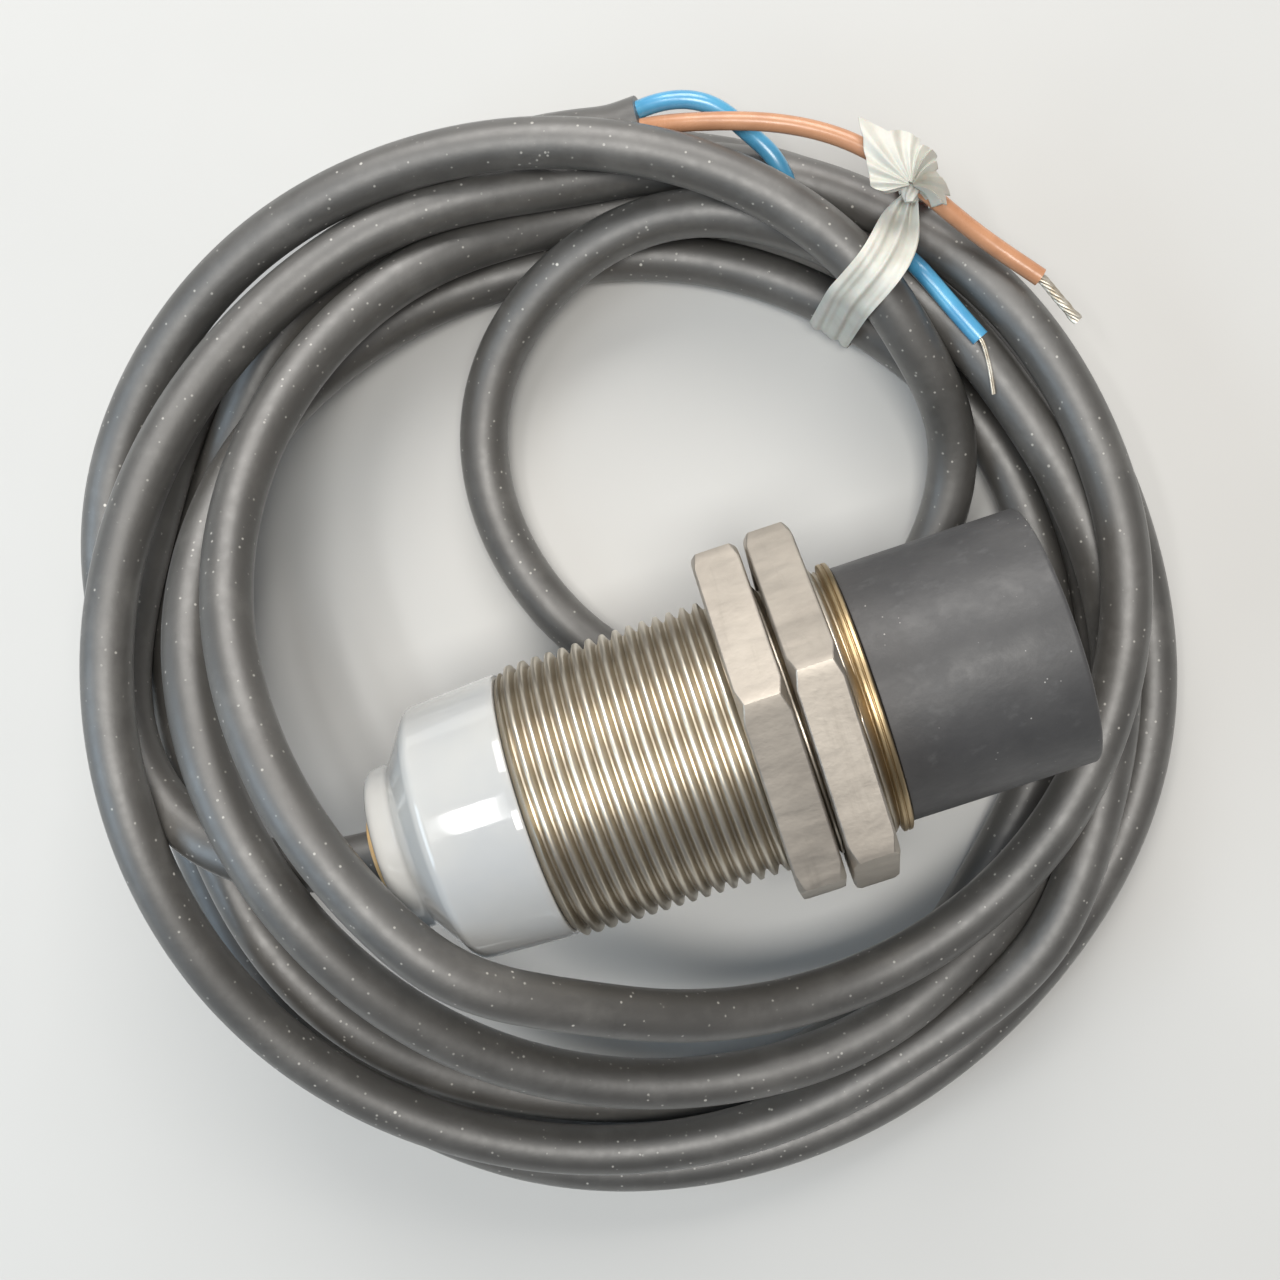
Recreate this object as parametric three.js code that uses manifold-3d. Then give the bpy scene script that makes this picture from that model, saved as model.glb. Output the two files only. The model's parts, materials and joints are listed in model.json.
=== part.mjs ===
// Cylindrical inductive proximity sensor, M30 x 1.5, with a coiled two-core lead.
// Millimetres, +Z up. The origin is the centre of the sensing face, and +X points out of that face
// along the barrel's axis.
import * as THREE from 'three';
import { mergeVertices } from 'three/addons/utils/BufferGeometryUtils.js';
import Module from 'manifold-3d';

const wasm = await Module();
wasm.setup();

// ---- driving dimensions ----
const SECTIONS = 36; // flat sides of every round piece
const SMALL_SECTIONS = 24; // and of small ones
const GAP = 0.3; // clearance between neighbouring pieces
const CLEAR = 0.4; // and between the coil's ring and the pieces that it is cut round

const THREAD_R = 15.0; // crest radius of M30
const PITCH = 1.5;
const THREAD_ROOT_R = 14.08;
const BORE_R = 13.2;
const CAP_LENGTH = 20.4;
const BARREL_LENGTH = 37.0;
const BARREL_FRONT = -CAP_LENGTH;
const BARREL_REAR = BARREL_FRONT - BARREL_LENGTH;

const CAP_R = 14.0;
const CAP_INNER_R = 11.1;
const CAP_FACE_WALL = 1.2;
const CAP_ROUND = 0.5;
const SKIRT_R = 12.9; // the part of each cap that plugs into the barrel
const SKIRT_LENGTH = 6.6;
const GROOVE_R = 11.7; // seal groove floor
const GROOVE_START = 2.2; // from the cap's shoulder to the groove
const GROOVE_WIDTH = 1.6;
const RING_R = 12.45; // centre radius of a seal ring
const RING_SECTION_R = 0.45;

const REAR_SHOULDER = BARREL_REAR - GAP;
const REAR_BODY_LENGTH = 9.7;
const REAR_BODY_R = 14.55;
const REAR_BODY_END_R = 14.0;
const BODY_ROUND = 0.9; // length of the round between the rear body and its cone
const CONE_START_R = 13.4;
const CONE_LENGTH = 2.9;
const NOSE_R = 9.0;
const NOSE_LENGTH = 2.9;
const NOSE_ROUND = 1.1;
const REAR_WALL_R = 11.4; // inside radius of the rear cap
const REAR_END = REAR_SHOULDER - REAR_BODY_LENGTH - BODY_ROUND - CONE_LENGTH - NOSE_LENGTH;
const REAR_WALL = 1.4; // wall behind the nose
const GLAND_SEAT_R = 5.8;
const GLAND_HOLE_R = 4.5;
const GLAND_R = 4.2;
const GLAND_BORE_R = 3.15;
const GLAND_PROUD = 1.3;
const GLAND_LENGTH = 4.9; // inside the nose, up to its flange
const GLAND_FLANGE_R = 5.2;
const GLAND_FLANGE_THICKNESS = 0.9;

const NUT_FLATS = 36.0;
const NUT_THICKNESS = 5.1;
const NUT_BORE_R = 15.4;
const NUT_CHAMFER_R = 19.6; // where the corner chamfer meets the nut's face
const FRONT_NUT = { rear: -28.1, turn: 16.0 }; // rear face, and turn of a corner from +Z towards +Y
const REAR_NUT = { rear: -33.9, turn: 11.5 };

const CABLE_R = 2.85;
const CORE_R = 1.05;
const STRAND_R = 0.7;
const FLOOR = -26.8; // the surface that the coil lies on
const LOOP_Z = FLOOR + CABLE_R;
const COIL_CENTRE = [-43.0, 11.2];
const COIL_OUTER_R = 62.2;
const COIL_CORNER = 2.0; // round of the ring's outer edges
const HOLE_CENTRE = [-41.5, 15.5];
const HOLE_R = 38.5;
const COIL_LOW_TOP = -14.7; // top of the coil under the sensing cap
const COIL_RISE = 24.4; // how much higher the coil stands on the far side
const COIL_LOW_ANGLE = -15; // degrees from +X of the lowest place
const COIL_RISE_POWER = 1.3;

// ---- materials ----
function material(color, roughness, metalness = 0) {
  return new THREE.MeshStandardMaterial({ color, roughness, metalness });
}

const nickel = material(0xb9b1a2, 0.25, 1);
const nutNickel = material(0xb5aca0, 0.45, 1);
const darkPlastic = material(0x5c5b5c, 0.6);
const whitePlastic = material(0xdfe2e6, 0.12);
const amberBush = material(0xc9a063, 0.5);
const sealRubber = material(0x1c1c1c, 0.8);
const cablePvc = material(0x4a4844, 0.45);
const bluePvc = material(0x2f86c4, 0.35);
const brownPvc = material(0xb27a58, 0.4);
const tinnedCopper = material(0xb8b2a2, 0.35, 1);
const tieFilm = material(0xd9dbd6, 0.5);
const ferrite = material(0x2d2b2c, 0.7);
const bobbinPlastic = material(0xcbc4ae, 0.6);
const copper = material(0xb0683a, 0.3, 1);
const boardGreen = material(0x1f5a35, 0.5);
const chipBlack = material(0x1d1d1f, 0.55);
const varistorBlue = material(0x2c4f93, 0.4);
const resin = material(0x33302c, 0.4);
const ledRed = material(0xb5301f, 0.2);

// ---- helpers ----
const sensor = new THREE.Group();

function signedVolume(geometry) {
  const flat = geometry.index ? geometry.toNonIndexed() : geometry;
  const p = flat.getAttribute('position');
  const corner = [new THREE.Vector3(), new THREE.Vector3(), new THREE.Vector3()];
  let volume = 0;
  for (let i = 0; i < p.count; i += 3) {
    corner.forEach((v, k) => v.fromBufferAttribute(p, i + k));
    volume += corner[0].dot(corner[1].cross(corner[2])) / 6;
  }
  return volume;
}

// Position-only copy with shared corners, its faces pointing out.
function closed(geometry) {
  const bare = new THREE.BufferGeometry();
  bare.setAttribute('position', geometry.getAttribute('position').clone());
  if (geometry.index) bare.setIndex(geometry.index.clone());
  const merged = mergeVertices(bare, 1e-4);
  const index = [];
  const source = merged.index.array;
  for (let i = 0; i < source.length; i += 3) {
    const [a, b, c] = source.slice(i, i + 3);
    if (a !== b && b !== c && c !== a) index.push(a, b, c);
  }
  merged.setIndex(index);
  if (signedVolume(merged) < 0) {
    merged.setIndex(index.reverse());
  }
  return merged;
}

function toSolid(geometry) {
  const shape = closed(geometry);
  return new wasm.Manifold(new wasm.Mesh({
    numProp: 3,
    vertProperties: new Float32Array(shape.getAttribute('position').array),
    triVerts: new Uint32Array(shape.index.array),
  }));
}

function toGeometry(solid) {
  const mesh = solid.getMesh();
  const geometry = new THREE.BufferGeometry();
  geometry.setAttribute('position', new THREE.BufferAttribute(mesh.vertProperties, 3));
  geometry.setIndex(new THREE.BufferAttribute(mesh.triVerts, 1));
  return geometry;
}

function add(name, geometry, finish) {
  const mesh = new THREE.Mesh(closed(geometry), finish);
  mesh.name = name;
  sensor.add(mesh);
  return mesh;
}

// A round piece about the barrel's axis, from [x, radius] corners.
function turned(profile, sections = SECTIONS) {
  const points = profile.map(([x, r]) => new THREE.Vector2(r, x));
  return new THREE.LatheGeometry(points, sections).rotateZ(-Math.PI / 2);
}

// A tube of washer section, closed on itself.
function sleeve(x0, x1, inner, outer) {
  return turned([[x0, inner], [x0, outer], [x1, outer], [x1, inner], [x0, inner]]);
}

// A cylinder along X.
function rod(x0, x1, radius, y = 0, z = 0, sections = 12) {
  const length = x1 - x0;
  const geometry = new THREE.CylinderGeometry(radius, radius, length, sections);
  return geometry.rotateZ(-Math.PI / 2).translate(x0 + length / 2, y, z);
}

function block(size, centre) {
  return new THREE.BoxGeometry(...size).translate(...centre);
}

// A round cord along a smooth curve through the given points.
function tube(points, radius, sides, steps) {
  const path = new THREE.CatmullRomCurve3(points.map((p) => new THREE.Vector3(...p)));
  const section = new THREE.Shape();
  for (let i = 0; i < sides; i += 1) {
    const angle = (2 * Math.PI * i) / sides;
    const x = radius * Math.cos(angle);
    const y = radius * Math.sin(angle);
    if (i === 0) section.moveTo(x, y);
    else section.lineTo(x, y);
  }
  return new THREE.ExtrudeGeometry(section, { steps, extrudePath: path, bevelEnabled: false });
}

// ---- barrel ----
function barrel() {
  const profile = [[BARREL_REAR, BORE_R], [BARREL_REAR, THREAD_ROOT_R]];
  const start = BARREL_REAR + (BARREL_LENGTH % PITCH) / 2;
  const turns = Math.floor(BARREL_LENGTH / PITCH);
  for (let i = 0; i < turns; i += 1) {
    profile.push([start + i * PITCH, THREAD_ROOT_R], [start + (i + 0.5) * PITCH, THREAD_R]);
  }
  profile.push([start + turns * PITCH, THREAD_ROOT_R], [BARREL_FRONT, THREAD_ROOT_R]);
  profile.push([BARREL_FRONT, BORE_R], [BARREL_REAR, BORE_R]);
  return turned(profile);
}

// ---- sensing cap: a cup whose skirt plugs into the barrel, with a seal groove ----
function sensingCap() {
  const shoulder = BARREL_FRONT + GAP;
  const groove = shoulder - GROOVE_START;
  return turned([
    [0, 0], [0, CAP_R - CAP_ROUND], [-CAP_ROUND * 0.3, CAP_R - CAP_ROUND * 0.3], [-CAP_ROUND, CAP_R],
    [shoulder, CAP_R], [shoulder, SKIRT_R],
    [groove, SKIRT_R], [groove, GROOVE_R], [groove - GROOVE_WIDTH, GROOVE_R],
    [groove - GROOVE_WIDTH, SKIRT_R], [shoulder - SKIRT_LENGTH, SKIRT_R],
    [shoulder - SKIRT_LENGTH, CAP_INNER_R], [-CAP_FACE_WALL, CAP_INNER_R], [-CAP_FACE_WALL, 0],
  ]);
}

// ---- rear cap: a stepped shell with a cone, a nose and the gland's hole ----
function rearCap() {
  const groove = REAR_SHOULDER + GROOVE_START;
  const bodyEnd = REAR_SHOULDER - REAR_BODY_LENGTH;
  const coneStart = bodyEnd - BODY_ROUND;
  const coneEnd = coneStart - CONE_LENGTH;
  const insideNose = coneEnd + REAR_WALL;
  const insideCone = insideNose + CONE_LENGTH;
  return turned([
    [REAR_SHOULDER + SKIRT_LENGTH, REAR_WALL_R], [REAR_SHOULDER + SKIRT_LENGTH, SKIRT_R],
    [groove + GROOVE_WIDTH, SKIRT_R], [groove + GROOVE_WIDTH, GROOVE_R], [groove, GROOVE_R],
    [groove, SKIRT_R], [REAR_SHOULDER, SKIRT_R], [REAR_SHOULDER, REAR_BODY_R],
    [bodyEnd, REAR_BODY_END_R], [bodyEnd - BODY_ROUND * 0.6, CONE_START_R + 0.3],
    [coneStart, CONE_START_R],
    [coneEnd, NOSE_R], [REAR_END + NOSE_ROUND, NOSE_R],
    [REAR_END + NOSE_ROUND * 0.3, NOSE_R - NOSE_ROUND * 0.3], [REAR_END, NOSE_R - NOSE_ROUND],
    [REAR_END, GLAND_HOLE_R], [insideNose, GLAND_HOLE_R], [insideNose, GLAND_SEAT_R],
    [insideCone, REAR_WALL_R], [REAR_SHOULDER + SKIRT_LENGTH, REAR_WALL_R],
  ]);
}

function sealRing(x) {
  const ring = new THREE.TorusGeometry(RING_R, RING_SECTION_R, 6, SECTIONS);
  return ring.rotateY(Math.PI / 2).translate(x, 0, 0);
}

// ---- gland bush with a flange behind the nose wall ----
function glandBush() {
  const outside = REAR_END - GLAND_PROUD;
  const flange = REAR_END + GLAND_LENGTH;
  const inside = flange + GLAND_FLANGE_THICKNESS;
  return turned([
    [outside, GLAND_BORE_R], [outside, GLAND_R], [flange, GLAND_R], [flange, GLAND_FLANGE_R],
    [inside, GLAND_FLANGE_R], [inside, GLAND_BORE_R], [outside, GLAND_BORE_R],
  ], SMALL_SECTIONS);
}

// ---- thin hexagon nut with its corners chamfered on both faces ----
function hexNut({ rear, turn }) {
  const front = rear + NUT_THICKNESS;
  const cornerR = NUT_FLATS / Math.sqrt(3);
  const outside = cornerR + 1.5; // the chamfering cone ends beyond the corners
  const drop = (outside - NUT_CHAMFER_R) * Math.tan(Math.PI / 6);
  const hexagon = new THREE.CylinderGeometry(cornerR, cornerR, NUT_THICKNESS, 6);
  hexagon.rotateZ(-Math.PI / 2).translate(rear + NUT_THICKNESS / 2, 0, 0);
  const chamfer = turned([
    [rear, 0], [rear, NUT_CHAMFER_R], [rear + drop, outside],
    [front - drop, outside], [front, NUT_CHAMFER_R], [front, 0],
  ]);
  const hole = rod(rear - 1, front + 1, NUT_BORE_R, 0, 0, SECTIONS);
  const nut = toSolid(hexagon).intersect(toSolid(chamfer)).subtract(toSolid(hole));
  return toGeometry(nut).rotateX(-THREE.MathUtils.degToRad(turn));
}

// ---- electronics ----
const CORE_REAR = -9.5;
const CORE_FRONT = -1.5;
const CORE_OUTER_R = 10.8;
const POST_R = 3.6;
const WINDOW_R = 9.4;
const CORE_FLOOR = -7.0; // bottom of the core's ring-shaped window
const PIN_Y = 6.5;
const PIN_Z = 1.6;
const PIN_R = 0.5;
const BOARD_FRONT = -11.0;
const BOARD_REAR = -53.0;
const BOARD_WIDTH = 19.0;
const BOARD_THICKNESS = 1.6;
const ON_BOARD = BOARD_THICKNESS / 2 + 0.1; // where a component's underside sits
const BOBBIN_FLANGE = 0.6;
const BOBBIN_WALL = 0.7;
const PIN_LENGTH = 7.0;
const CLAMP_REAR = -67.4;
const CLAMP_LENGTH = 3.0;
const CLAMP_R = 4.4;
const LED_REAR = -61.9;
const LED_R = 1.5;
const LED_RIM_R = 1.8;
const LED_OFFSET = 8.5; // from the barrel's axis
// Components that stand on the board: [name, size along the board, across and up, x, y].
const CHIPS = [
  ['oscillator_chip', [5.0, 4.0, 1.6], -19.0, 0],
  ['output_thyristor', [6.5, 6.0, 2.3], -42.0, -5.4],
  ['bridge_rectifier', [6.0, 6.4, 2.6], -42.0, 5.2],
];
const RESISTOR_REAR = -37.0;
const RESISTOR_LENGTH = 6.0;
const RESISTOR_R = 1.1;
const RESISTOR_Y = { resistor_a: -2.0, resistor_b: -5.5 };
const CAPACITOR_LENGTH = 7.5;
const CAPACITOR_R = 2.4;
const CAPACITOR_Y = 5.0;
const VARISTOR_REAR = -49.0;
const VARISTOR_THICKNESS = 2.2;
const VARISTOR_R = 3.2;

function ferriteCore() {
  const core = toSolid(turned([
    [CORE_REAR, 0], [CORE_REAR, CORE_OUTER_R], [CORE_FRONT, CORE_OUTER_R], [CORE_FRONT, WINDOW_R],
    [CORE_FLOOR, WINDOW_R], [CORE_FLOOR, POST_R], [CORE_FRONT, POST_R], [CORE_FRONT, 0],
  ]));
  const holes = [-PIN_Y, PIN_Y].map((y) => rod(CORE_REAR - 1, CORE_FLOOR + 1, PIN_R + GAP, y, PIN_Z));
  return toGeometry(holes.reduce((solid, hole) => solid.subtract(toSolid(hole)), core));
}

function coilBobbin() {
  const rear = CORE_FLOOR + GAP;
  const front = CORE_FRONT - GAP;
  const flangeR = WINDOW_R - GAP;
  const boreR = POST_R + GAP;
  const hubR = boreR + BOBBIN_WALL;
  return turned([
    [rear, boreR], [rear, flangeR], [rear + BOBBIN_FLANGE, flangeR], [rear + BOBBIN_FLANGE, hubR],
    [front - BOBBIN_FLANGE, hubR], [front - BOBBIN_FLANGE, flangeR], [front, flangeR],
    [front, boreR], [rear, boreR],
  ]);
}

function coilWinding() {
  const rear = CORE_FLOOR + BOBBIN_FLANGE + 2 * GAP;
  const front = CORE_FRONT - BOBBIN_FLANGE - 2 * GAP;
  return sleeve(rear, front, POST_R + BOBBIN_WALL + 2 * GAP, WINDOW_R - 2 * GAP);
}

function led() {
  const rim = LED_REAR + 4.3;
  const front = rim + 1.0;
  return turned([
    [front, 0], [front, LED_RIM_R], [rim, LED_RIM_R], [rim, LED_R],
    [LED_REAR + LED_R, LED_R], [LED_REAR + 0.3 * LED_R, 0.7 * LED_R], [LED_REAR, 0],
  ], 16).translate(0, 0, LED_OFFSET);
}

const CORE_LEAD_Y = 1.7;
const CORE_LEAD_Z = 2.0;
const CORE_LEAD_REAR = -62.9;
const CORE_LEAD_FRONT = -50.0;
const PLUG_REAR = -56.0;
const PLUG_FRONT = -53.6;
const PLUG_R = 11.0;

function resinPlug() {
  const disc = toSolid(turned([
    [PLUG_REAR, 0], [PLUG_REAR, PLUG_R], [PLUG_FRONT, PLUG_R], [PLUG_FRONT, 0],
  ]));
  const holes = [-CORE_LEAD_Y, CORE_LEAD_Y].map(
    (y) => rod(PLUG_REAR - 1, PLUG_FRONT + 1, CORE_R + GAP, y, CORE_LEAD_Z),
  );
  return toGeometry(holes.reduce((solid, hole) => solid.subtract(toSolid(hole)), disc));
}

// ---- free lengths of the lead, outside the coil ----
const JACKET_INSIDE_END = -63.2;
const EXIT_ROUTE = [
  [JACKET_INSIDE_END, 0, 0], [-68, 0, 0], [-72, 0, 0], [-75.5, 0, 0], [-79.0, 0.3, -0.4],
];
// The small loop inside the coil, which passes under the barrel on the surface below.
const INNER_LOOP_ROUTE = [
  [-12.5, 8.4], [-16.5, 5.8], [-21.5, 3.9], [-27.2, 3.3], [-33.2, 3.7], [-39.0, 5.8], [-44.0, 9.3],
  [-48.4, 14.4], [-51.8, 21.3], [-53.9, 28.6], [-54.5, 35.2], [-53.5, 41.2],
].map(([x, y]) => [x, y, LOOP_Z]);
const JACKET_END_ROUTE = [[-31.2, 68.6, -13.6], [-27.4, 68.8, -12.8], [-23.4, 68.7, -12.0]];
const BROWN_ROUTE = [
  [-22.6, 67.4, -11.2], [-17.7, 65.7, -9.8], [-13.5, 64.2, -9.2], [-9.4, 62.4, -9.0],
  [-5.5, 60.1, -8.8], [-2.7, 57.8, -8.4], [1.4, 52.9, -7.8], [3.4, 49.6, -8.0], [7.9, 43.4, -10.0],
  [12.7, 37.3, -10.8],
];
const BROWN_STRANDS = [[12.9, 37.0, -10.9], [14.0, 34.4, -11.2], [15.3, 31.5, -11.6]];
const BLUE_ROUTE = [
  [-22.8, 69.8, -11.6], [-20.2, 69.3, -10.8], [-17.0, 68.3, -10.7], [-14.6, 66.3, -11.2],
  [-12.4, 62.7, -12.8], [-10.2, 59.3, -15.0], [-8.2, 56.2, -17.4], [-6.4, 53.4, -19.4],
  [-4.4, 50.3, -19.2], [-2.6, 47.4, -17.0], [-0.9, 44.5, -14.8], [0.9, 41.2, -13.6],
  [2.8, 37.1, -13.3], [4.5, 33.1, -13.4],
];
const BLUE_STRANDS = [[4.6, 32.7, -13.4], [4.6, 30.0, -14.0], [4.2, 26.8, -14.8]];

// ---- twist tie ----
const TIE_START = [-13.6, 37.6]; // at the coil's inner edge
const TIE_ANGLE = 39.2; // degrees, the way the strip crosses the coil
const TIE_LENGTH = 18.0;
const TIE_WIDTH = 4.6;
const TIE_THICKNESS = 0.9;
const TIE_TOP = -5.5;
const TIE_FOOT = -24.0;
const TIE_CORNER = 1.5;

function tieStrip() {
  const outline = new THREE.Shape();
  const under = TIE_TOP - TIE_THICKNESS;
  outline.moveTo(0, TIE_FOOT);
  outline.lineTo(TIE_THICKNESS, TIE_FOOT);
  outline.lineTo(TIE_THICKNESS, under - TIE_CORNER);
  outline.lineTo(TIE_THICKNESS + TIE_CORNER, under);
  outline.lineTo(TIE_LENGTH, under);
  outline.lineTo(TIE_LENGTH, TIE_TOP);
  outline.lineTo(TIE_CORNER, TIE_TOP);
  outline.lineTo(0, TIE_TOP - TIE_CORNER);
  const strip = new THREE.ExtrudeGeometry(outline, { depth: TIE_WIDTH, bevelEnabled: false });
  strip.translate(0, 0, -TIE_WIDTH / 2).rotateX(Math.PI / 2);
  return strip.rotateZ(THREE.MathUtils.degToRad(TIE_ANGLE)).translate(...TIE_START, 0);
}

const KNOT_BOTTOM = -5.0;
const KNOT_HEIGHT = 4.0;
const KNOT_OUTLINE = [
  [-3.6, 57.6], [-0.4, 58.8], [2.4, 55.9], [5.8, 52.8], [5.2, 49.2], [2.6, 48.6], [0.2, 50.2],
  [-2.6, 53.4],
];

function tieKnot() {
  const outline = new THREE.Shape(KNOT_OUTLINE.map(([x, y]) => new THREE.Vector2(x, y)));
  const knot = new THREE.ExtrudeGeometry(outline, { depth: KNOT_HEIGHT, bevelEnabled: false });
  return knot.translate(0, 0, KNOT_BOTTOM);
}

// ---- the coil's outer shape: a ring that is low under the sensing cap and rises opposite it ----
function coilRing(neighbours) {
  const sections = 48;
  const innerR = HOLE_R / 2; // inside the hole that is cut next
  const shoulderR = COIL_OUTER_R - COIL_CORNER;
  const height = COIL_LOW_TOP - FLOOR;
  const ring = new THREE.LatheGeometry([
    [innerR, 0], [shoulderR, 0], [COIL_OUTER_R, COIL_CORNER], [COIL_OUTER_R, height - COIL_CORNER],
    [shoulderR, height], [innerR, height], [innerR, 0],
  ].map(([r, up]) => new THREE.Vector2(r, up)), sections);
  const p = ring.getAttribute('position');
  for (let i = 0; i < p.count; i += 1) {
    const [x, up, y] = [p.getX(i), p.getY(i), p.getZ(i)];
    const angle = Math.atan2(y, x) - THREE.MathUtils.degToRad(COIL_LOW_ANGLE);
    const rise = COIL_RISE * ((1 - Math.cos(angle)) / 2) ** COIL_RISE_POWER;
    p.setXYZ(i, x, y, FLOOR + up + (up > height / 2 ? rise : 0));
  }
  ring.translate(...COIL_CENTRE, 0);
  const hole = new THREE.CylinderGeometry(HOLE_R, HOLE_R, 200, sections);
  hole.rotateX(Math.PI / 2).translate(...HOLE_CENTRE, 0);
  const cuts = [hole, ...neighbours].map(toSolid);
  return toGeometry(cuts.reduce((solid, cut) => solid.subtract(cut), toSolid(ring)));
}

// ---- assembly ----
add('barrel', barrel(), nickel);
add('sensing_cap', sensingCap(), darkPlastic);
add('rear_cap', rearCap(), whitePlastic);
add('cable_gland', glandBush(), amberBush);
add('front_nut', hexNut(FRONT_NUT), nutNickel);
add('rear_nut', hexNut(REAR_NUT), nutNickel);
add('cap_o_ring', sealRing(BARREL_FRONT + GAP - GROOVE_START - GROOVE_WIDTH / 2), sealRubber);
add('rear_seal_ring', sealRing(REAR_SHOULDER + GROOVE_START + GROOVE_WIDTH / 2), sealRubber);
add('cable_clamp', sleeve(CLAMP_REAR, CLAMP_REAR + CLAMP_LENGTH, GLAND_BORE_R, CLAMP_R), nutNickel);

add('ferrite_core', ferriteCore(), ferrite);
add('coil_bobbin', coilBobbin(), bobbinPlastic);
add('coil_winding', coilWinding(), copper);
for (const [name, y] of [['coil_pin_a', -PIN_Y], ['coil_pin_b', PIN_Y]]) {
  add(name, rod(CORE_FLOOR - PIN_LENGTH, CORE_FLOOR, PIN_R, y, PIN_Z, 8), tinnedCopper);
}
add('circuit_board', block(
  [BOARD_FRONT - BOARD_REAR, BOARD_WIDTH, BOARD_THICKNESS],
  [(BOARD_FRONT + BOARD_REAR) / 2, 0, 0],
), boardGreen);
for (const [name, size, x, y] of CHIPS) {
  add(name, block(size, [x, y, ON_BOARD + size[2] / 2]), chipBlack);
}
for (const [name, y] of Object.entries(RESISTOR_Y)) {
  const end = RESISTOR_REAR + RESISTOR_LENGTH;
  add(name, rod(RESISTOR_REAR, end, RESISTOR_R, y, ON_BOARD + RESISTOR_R), bobbinPlastic);
}
add('smoothing_capacitor', rod(
  RESISTOR_REAR, RESISTOR_REAR + CAPACITOR_LENGTH, CAPACITOR_R,
  CAPACITOR_Y, ON_BOARD + CAPACITOR_R, 16,
), chipBlack);
add('suppression_varistor', rod(
  VARISTOR_REAR, VARISTOR_REAR + VARISTOR_THICKNESS, VARISTOR_R, 0, -ON_BOARD - VARISTOR_R, 20,
), varistorBlue);
add('led_indicator', led(), ledRed);
add('resin_plug', resinPlug(), resin);
for (const [name, y, finish] of [
  ['inner_lead_brown', -CORE_LEAD_Y, brownPvc],
  ['inner_lead_blue', CORE_LEAD_Y, bluePvc],
]) {
  add(name, rod(CORE_LEAD_REAR, CORE_LEAD_FRONT, CORE_R, y, CORE_LEAD_Z), finish);
}

add('cable_exit', tube(EXIT_ROUTE, CABLE_R, 12, 6), cablePvc);
add('cable_inner_loop', tube(INNER_LOOP_ROUTE, CABLE_R, 12, 30), cablePvc);
add('cable_end', tube(JACKET_END_ROUTE, CABLE_R, 12, 4), cablePvc);
add('brown_core', tube(BROWN_ROUTE, CORE_R, 8, 20), brownPvc);
add('blue_core', tube(BLUE_ROUTE, CORE_R, 8, 24), bluePvc);
add('brown_strands', tube(BROWN_STRANDS, STRAND_R, 8, 5), tinnedCopper);
add('blue_strands', tube(BLUE_STRANDS, STRAND_R, 8, 5), tinnedCopper);
add('tie_strip', tieStrip(), tieFilm);
add('tie_knot', tieKnot(), tieFilm);

const nutSweepR = NUT_FLATS / Math.sqrt(3) + GAP;
add('cable_coil', coilRing([
  rod(BARREL_REAR - 1, BARREL_FRONT, nutSweepR, 0, 0, SECTIONS),
  rod(BARREL_FRONT - 1, GAP, CAP_R + CLEAR, 0, 0, SECTIONS),
  rod(REAR_END - GAP, BARREL_REAR, REAR_BODY_R + CLEAR, 0, 0, SECTIONS),
  rod(REAR_END - GLAND_PROUD - GAP, REAR_END, GLAND_R + CLEAR),
  tube(EXIT_ROUTE, CABLE_R + CLEAR, 12, 6),
  tube(JACKET_END_ROUTE, CABLE_R + CLEAR, 12, 4),
  tube(BROWN_ROUTE, CORE_R + CLEAR, 8, 20),
  tube(BLUE_ROUTE, CORE_R + CLEAR, 8, 24),
  tube(BLUE_STRANDS, STRAND_R + CLEAR, 8, 5),
]), cablePvc);

export default sensor;
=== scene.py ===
"""Looks for the cylindrical proximity sensor and its coiled lead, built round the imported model."""
import json
import math

import bmesh
import bpy
import numpy as np
from mathutils import Matrix, Vector


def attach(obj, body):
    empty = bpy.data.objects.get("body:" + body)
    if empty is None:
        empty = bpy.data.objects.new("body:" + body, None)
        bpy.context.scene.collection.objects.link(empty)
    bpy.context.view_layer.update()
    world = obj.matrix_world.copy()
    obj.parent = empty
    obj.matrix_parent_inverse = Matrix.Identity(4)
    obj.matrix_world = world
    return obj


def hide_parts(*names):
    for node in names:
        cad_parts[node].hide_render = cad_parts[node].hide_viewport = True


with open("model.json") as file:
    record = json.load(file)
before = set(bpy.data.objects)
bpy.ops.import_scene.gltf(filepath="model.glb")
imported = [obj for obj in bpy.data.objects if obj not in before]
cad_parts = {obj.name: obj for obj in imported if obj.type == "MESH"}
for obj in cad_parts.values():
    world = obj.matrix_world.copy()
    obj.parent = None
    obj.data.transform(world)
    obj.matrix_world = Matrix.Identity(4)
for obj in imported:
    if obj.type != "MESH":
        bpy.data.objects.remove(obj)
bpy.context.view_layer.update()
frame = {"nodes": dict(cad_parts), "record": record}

MM = 0.001
BODY = "sensor_body"

# ---- sizes in millimetres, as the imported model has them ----
FLOOR = -26.8
CABLE_R = 2.85
CORE_R = 1.05
THREAD_R = 15.0
ROOT_R = 14.08
BORE_R = 13.2
PITCH = 1.5
BARREL_REAR = -57.4
BARREL_FRONT = -20.4
COLLAR_START = -21.75
CAP_R = 14.0
REAR_END = -74.1
NUT_FLATS = 36.0
NUT_THICKNESS = 5.1
COIL_CENTRE = (-43.0, 13.0)

# =====================================================================================
# camera
# =====================================================================================
CAMERA_AT = Vector((-31.9, 13.1, 190.0)) * MM
LOOKS_AT = Vector((-41.6, 13.1, 0.0)) * MM
IMAGE_RIGHT = Vector((0.949, -0.314, 0.0))
LENS = 50.3

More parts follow.
